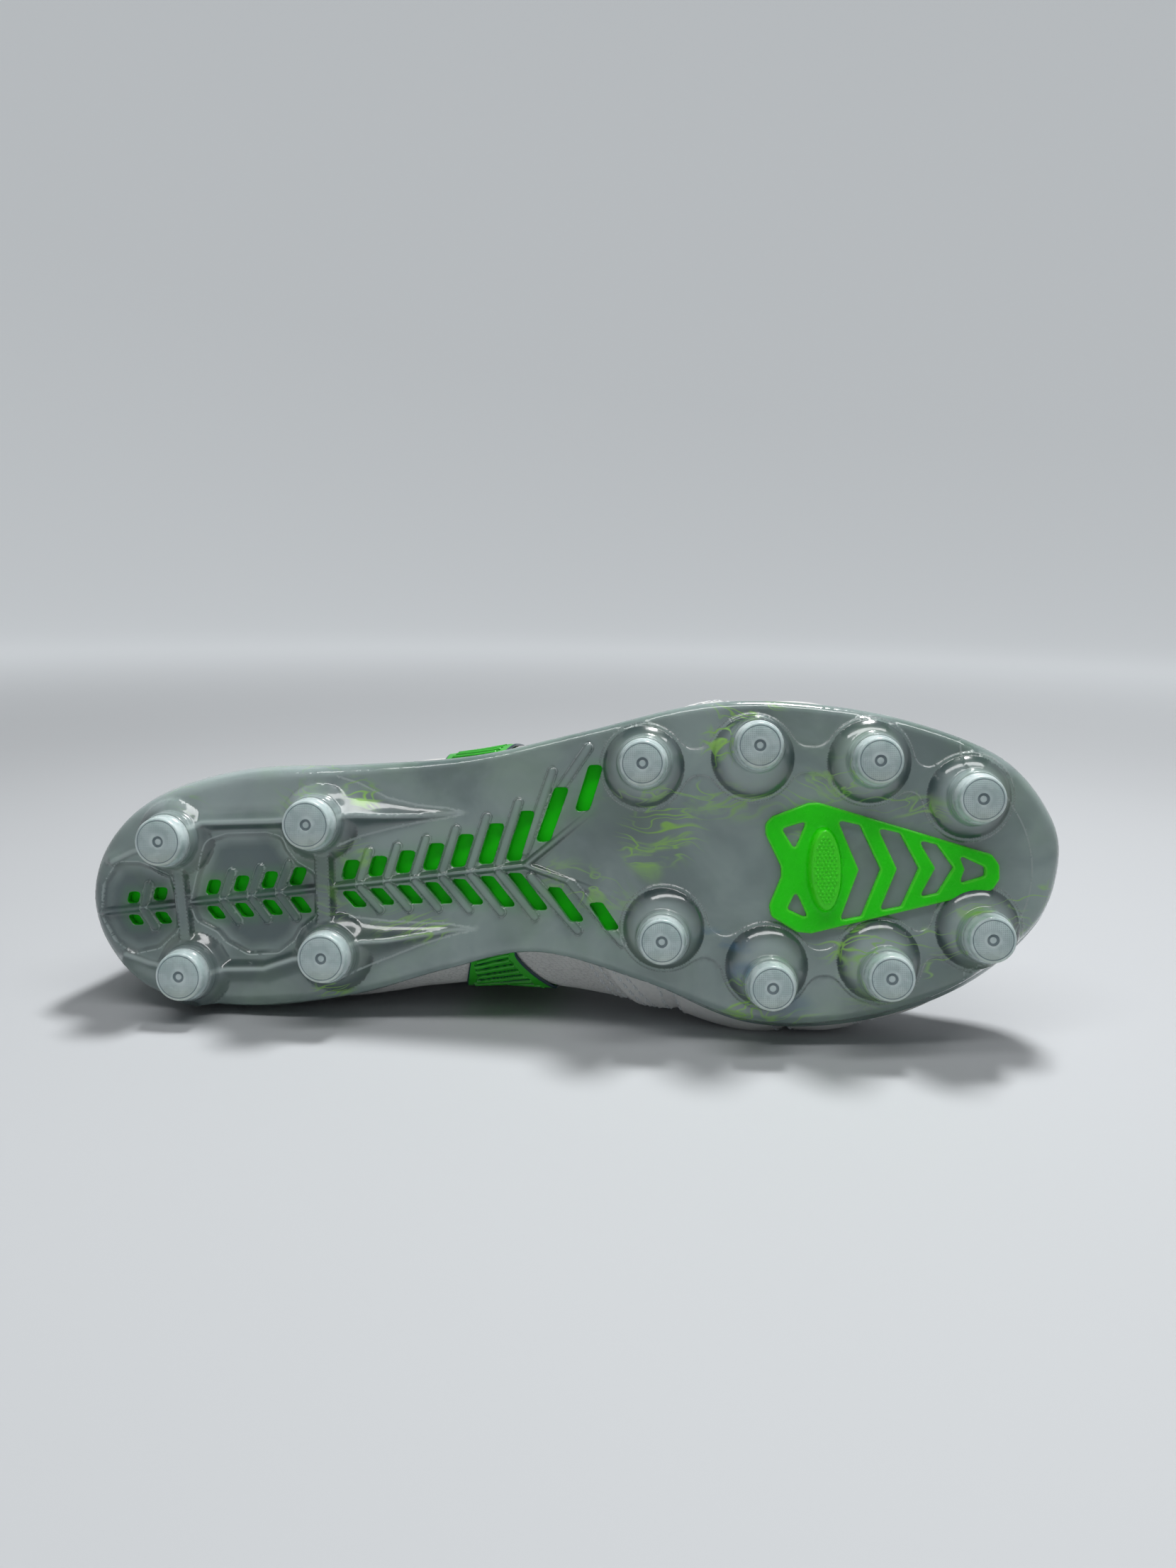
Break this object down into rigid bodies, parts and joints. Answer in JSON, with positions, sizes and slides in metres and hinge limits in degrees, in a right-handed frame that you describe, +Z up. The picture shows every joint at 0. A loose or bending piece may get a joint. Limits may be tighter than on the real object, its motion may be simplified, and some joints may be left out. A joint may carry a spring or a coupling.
{
  "type": "soccer cleat",
  "caption": "Right-foot soccer cleat lying on its side, with a moulded-stud outsole, a laced low-cut upper, a hinged tongue top and a lift-out sockliner.",
  "frame": {"origin": "centre of the bounding box's underside: the shoe lies on its medial side on the floor, z = 0", "axes": "+X from heel to toe along the sole, +Y the way the foot opening faces (the sole's studs face -Y), +Z up, towards the shoe's lateral side"},
  "size_m": [0.2829, 0.1249, 0.0966],
  "materials": {
    "outsole": "smoky translucent polyurethane, glossy, with lime-green streaks",
    "shank": "lime-green plastic seen through the plate",
    "insert": "lime-green, glossy",
    "stud_tip": "milky clear, fine crosshatch on the face",
    "board": "pale fibre board",
    "sockliner": "dark textile over foam",
    "upper_front": "smooth white synthetic leather",
    "upper_side": "white synthetic leather with a fine grain",
    "stiffener": "plain thermoplastic sheet",
    "lining": "grey textile",
    "foam": "soft foam",
    "tongue": "white padded textile",
    "eyestay": "white synthetic leather",
    "eyelets": "grey",
    "lace": "white woven cord",
    "side_band": "lime-green film with raised ridges"
  },
  "bodies": {
    "shoe": {"outsole_plate": "outsole", "shank_plate": "shank", "traction_insert": "insert", "forefoot_stud_1": "stud_tip", "forefoot_stud_2": "stud_tip", "forefoot_stud_3": "stud_tip", "forefoot_stud_4": "stud_tip", "forefoot_stud_5": "stud_tip", "forefoot_stud_6": "stud_tip", "forefoot_stud_7": "stud_tip", "forefoot_stud_8": "stud_tip", "heel_stud_1": "stud_tip", "heel_stud_2": "stud_tip", "heel_stud_3": "stud_tip", "heel_stud_4": "stud_tip", "lasting_board": "board", "vamp": "upper_front", "toe_puff": "stiffener", "vamp_lining": "lining", "medial_quarter": "upper_side", "lateral_quarter": "upper_side", "heel_stay": "upper_front", "heel_counter": "stiffener", "collar_padding": "foam", "collar_lining": "lining", "quarter_lining": "lining", "tongue_lower": "tongue", "medial_eyestay": "eyestay", "lateral_eyestay": "eyestay", "medial_eyelets": "eyelets", "lateral_eyelets": "eyelets", "lace": "lace", "medial_side_band": "side_band", "lateral_side_band": "side_band"},
    "tongue": {"tongue_upper": "tongue"},
    "insole": {"sockliner": "sockliner"}
  },
  "joints": [
    {"name": "tongue_tilt", "type": "hinge", "parent": "shoe", "child": "tongue", "pos_m": [-0.02608, 0.05132, 0.02963], "axis": [0.0598, -0.1374, -0.9887], "range_deg": [0, 30]},
    {"name": "sockliner_lift", "type": "hinge", "parent": "shoe", "child": "insole", "pos_m": [0.13201, -0.03426, 0.05108], "axis": [0.0598, -0.1374, -0.9887], "range_deg": [0, 3]}
  ]
}
